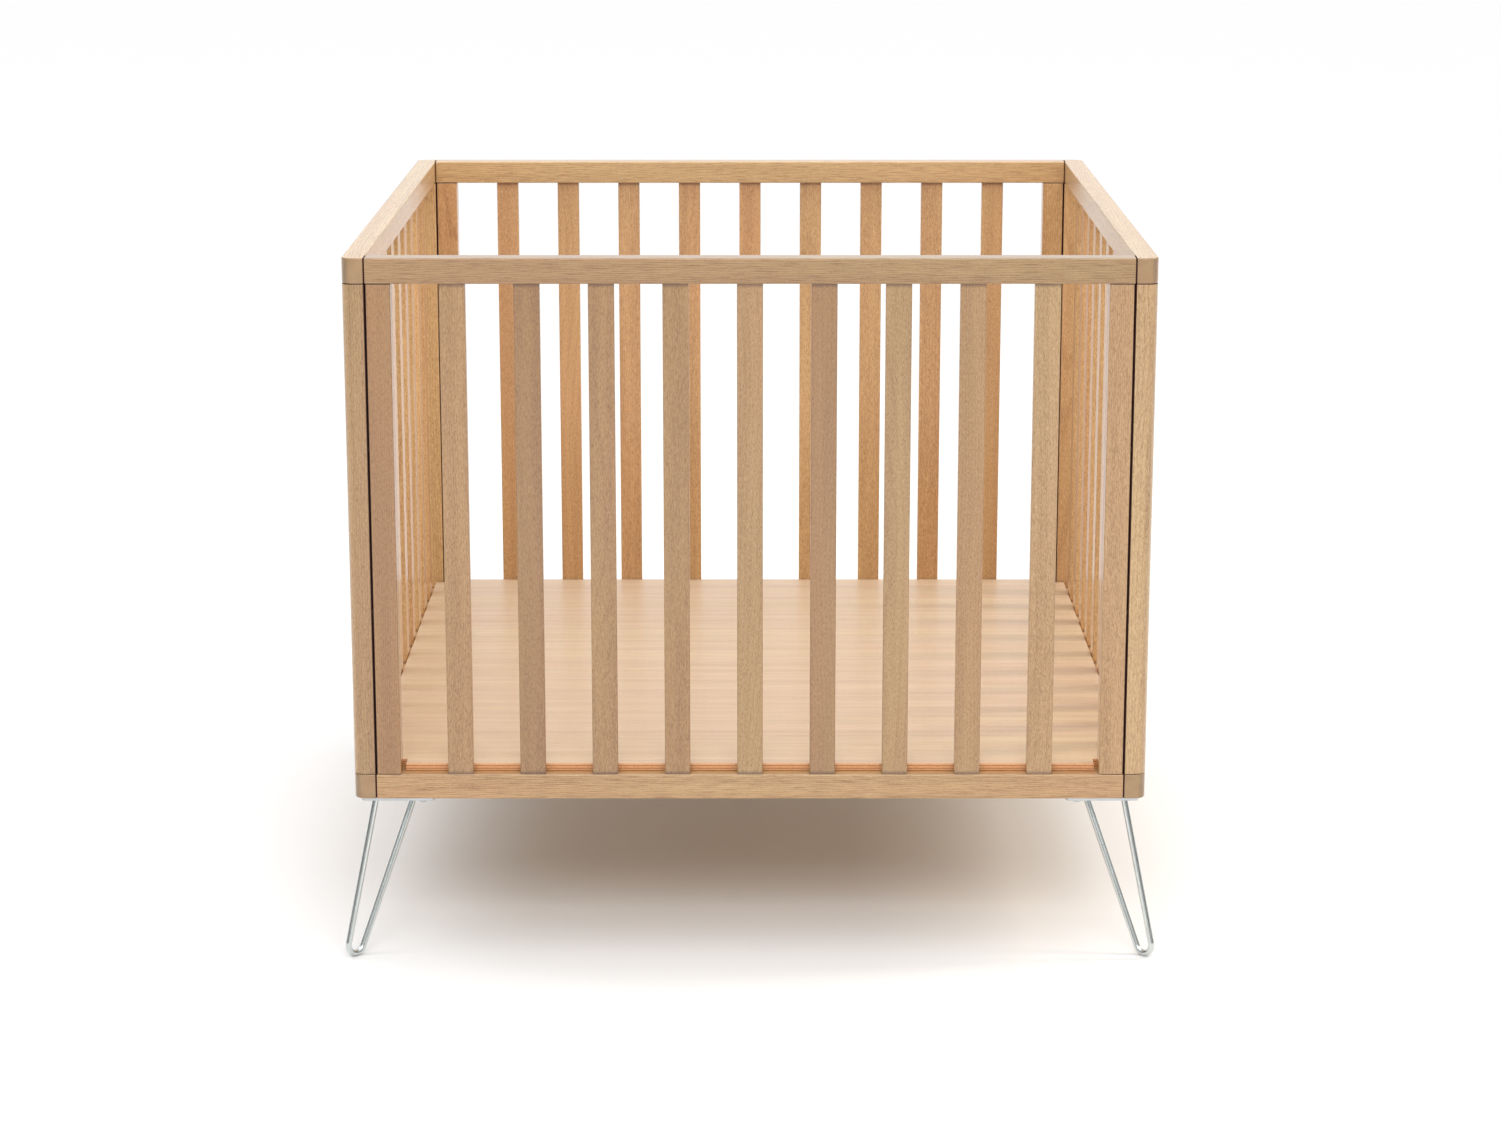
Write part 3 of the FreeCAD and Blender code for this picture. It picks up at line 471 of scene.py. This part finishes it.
def weld(name, x, y, seed, material):
    """The small uneven bead of metal that joins a rod to its plate."""
    chance = random.Random(seed)
    phases = [chance.uniform(0, 2 * math.pi) for _ in range(3)]
    shape = bmesh.new()
    rings = []
    for level in range(BEAD_LEVELS):
        # A rounded collar: wide on the plate, narrow on the rod.
        turn = level / (BEAD_LEVELS - 1) * math.pi / 2
        ring = []
        for step in range(BEAD_STEPS):
            angle = 2 * math.pi * step / BEAD_STEPS
            ripple = (1 + 0.10 * math.sin(9 * angle + phases[0])
                      + 0.07 * math.sin(2 * angle + phases[1])
                      + 0.04 * math.sin(17 * angle + phases[2]))
            radius = (ROD_RADIUS * BEAD_INTO_ROD
                      + BEAD_SPREAD * ripple * math.cos(turn) ** 0.8)
            drop = BEAD_DROP * ripple * math.sin(turn)
            ring.append(shape.verts.new((x + radius * math.cos(angle),
                                         y + radius * math.sin(angle),
                                         PLATE_UNDERSIDE + BEAD_INTO_PLATE - drop)))
        rings.append(ring)
    for upper, lower in zip(rings, rings[1:]):
        for step in range(BEAD_STEPS):
            following = (step + 1) % BEAD_STEPS
            shape.faces.new((upper[step], lower[step], lower[following],
                             upper[following]))
    shape.faces.new(rings[0])
    shape.faces.new(list(reversed(rings[-1])))
    bmesh.ops.recalc_face_normals(shape, faces=shape.faces)
    for face in shape.faces:
        face.smooth = True
    mesh = bpy.data.meshes.new(name)
    shape.to_mesh(mesh)
    shape.free()
    mesh.materials.append(material)
    bead = bpy.data.objects.new(name, mesh)
    bpy.context.scene.collection.objects.link(bead)
    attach(bead, "pen")


# ---------------------------------------------------------------- floor, light, camera

def floor(reach):
    tree = Tree("floor")
    tree.surface(Base_Color=(0.82, 0.82, 0.82, 1), Roughness=1.0, Specular_IOR_Level=0.0)
    mesh = bpy.data.meshes.new("floor")
    edges = [(-reach, -reach, 0), (reach, -reach, 0), (reach, reach, 0), (-reach, reach, 0)]
    mesh.from_pydata(edges, [], [(0, 1, 2, 3)])
    mesh.materials.append(tree.material)
    plane = bpy.data.objects.new("floor", mesh)
    bpy.context.scene.collection.objects.link(plane)


def studio(horizon, ceiling, back, front):
    """A dim horizon under a bright ceiling, with a bright wall behind the playpen and a
    dim one in front of it."""
    world = bpy.data.worlds.new("studio")
    world.use_nodes = True
    graph = Graph(world.node_tree)
    _, y, z = graph.split(graph.coordinates("Generated"))
    height = graph.math("POWER", graph.math("MAXIMUM", z, 0.0), 1.5)
    behind = graph.math("POWER", graph.math("MAXIMUM", y, 0.0), 4.0)
    before = graph.math("MINIMUM", y, 0.0)
    before = graph.math("MULTIPLY", before, before)
    total = graph.math("ADD", graph.math("MULTIPLY", height, ceiling), horizon)
    total = graph.math("ADD", total, graph.math("MULTIPLY", behind, back))
    total = graph.math("ADD", total, graph.math("MULTIPLY", before, front))
    # Behind the floor the camera sees plain white, whatever lights the playpen from there.
    seen = graph.nodes.new("ShaderNodeLightPath").outputs["Is Camera Ray"]
    background = graph.nodes["Background"]
    graph.put(background, "Strength", graph.math("MAXIMUM", total, seen))
    graph.put(background, "Color", (1, 1, 1, 1))
    bpy.context.scene.world = world


def softbox(name, place, aim, size, power, colour=(1, 1, 1)):
    light = bpy.data.lights.new(name, "AREA")
    light.shape = "RECTANGLE"
    light.size, light.size_y = size
    light.energy = power
    light.color = colour
    lamp = bpy.data.objects.new(name, light)
    lamp.location = place
    lamp.rotation_euler = (Vector(aim) - Vector(place)).to_track_quat("-Z", "Y").to_euler()
    lamp.visible_camera = False
    bpy.context.scene.collection.objects.link(lamp)


def camera(place, lens, tilt):
    """A camera that looks along Y and down by tilt, in degrees."""
    data = bpy.data.cameras.new("camera")
    data.lens = lens
    data.sensor_width = 36.0
    data.clip_end = 200.0
    eye = bpy.data.objects.new("camera", data)
    eye.location = place
    eye.rotation_euler = (math.radians(90 - tilt), 0.0, 0.0)
    bpy.context.scene.collection.objects.link(eye)
    bpy.context.scene.camera = eye


# ---------------------------------------------------------------- the scene

for seed, name in enumerate(sorted(nodes)):
    dress(name, material_for(name, seed))

weld_metal = metal("weld", WELD_STEEL, 0.34)
for number, (corner, (side_x, side_y)) in enumerate(CORNERS.items()):
    for seed, (rod, inset) in enumerate(WELD_PLACES.items(), 10 * number + 5):
        weld("weld_%s_%s" % (corner, rod), side_x * (HALF_WIDTH - inset),
             side_y * (HALF_DEPTH - inset), seed, weld_metal)

floor(reach=40.0)
studio(horizon=0.02, ceiling=1.94, back=0.8, front=0.2)
bpy.context.scene.view_settings.view_transform = "Standard"
softbox("right_softbox", (3.3, 0.2, 2.9), aim=(0, 0, 0.4), size=(0.6, 1.8), power=60,
        colour=(1.0, 0.87, 0.70))
softbox("left_softbox", (-2.6, 0.2, 3.3), aim=(0, 0, 0.4), size=(0.6, 1.6), power=14)
softbox("front_softbox", (0.0, -4.5, 3.3), aim=(0, 0, 0.2), size=(3.5, 1.8), power=108)
camera((0.0, -4.7656, 1.5094), lens=84.17, tilt=13.177)
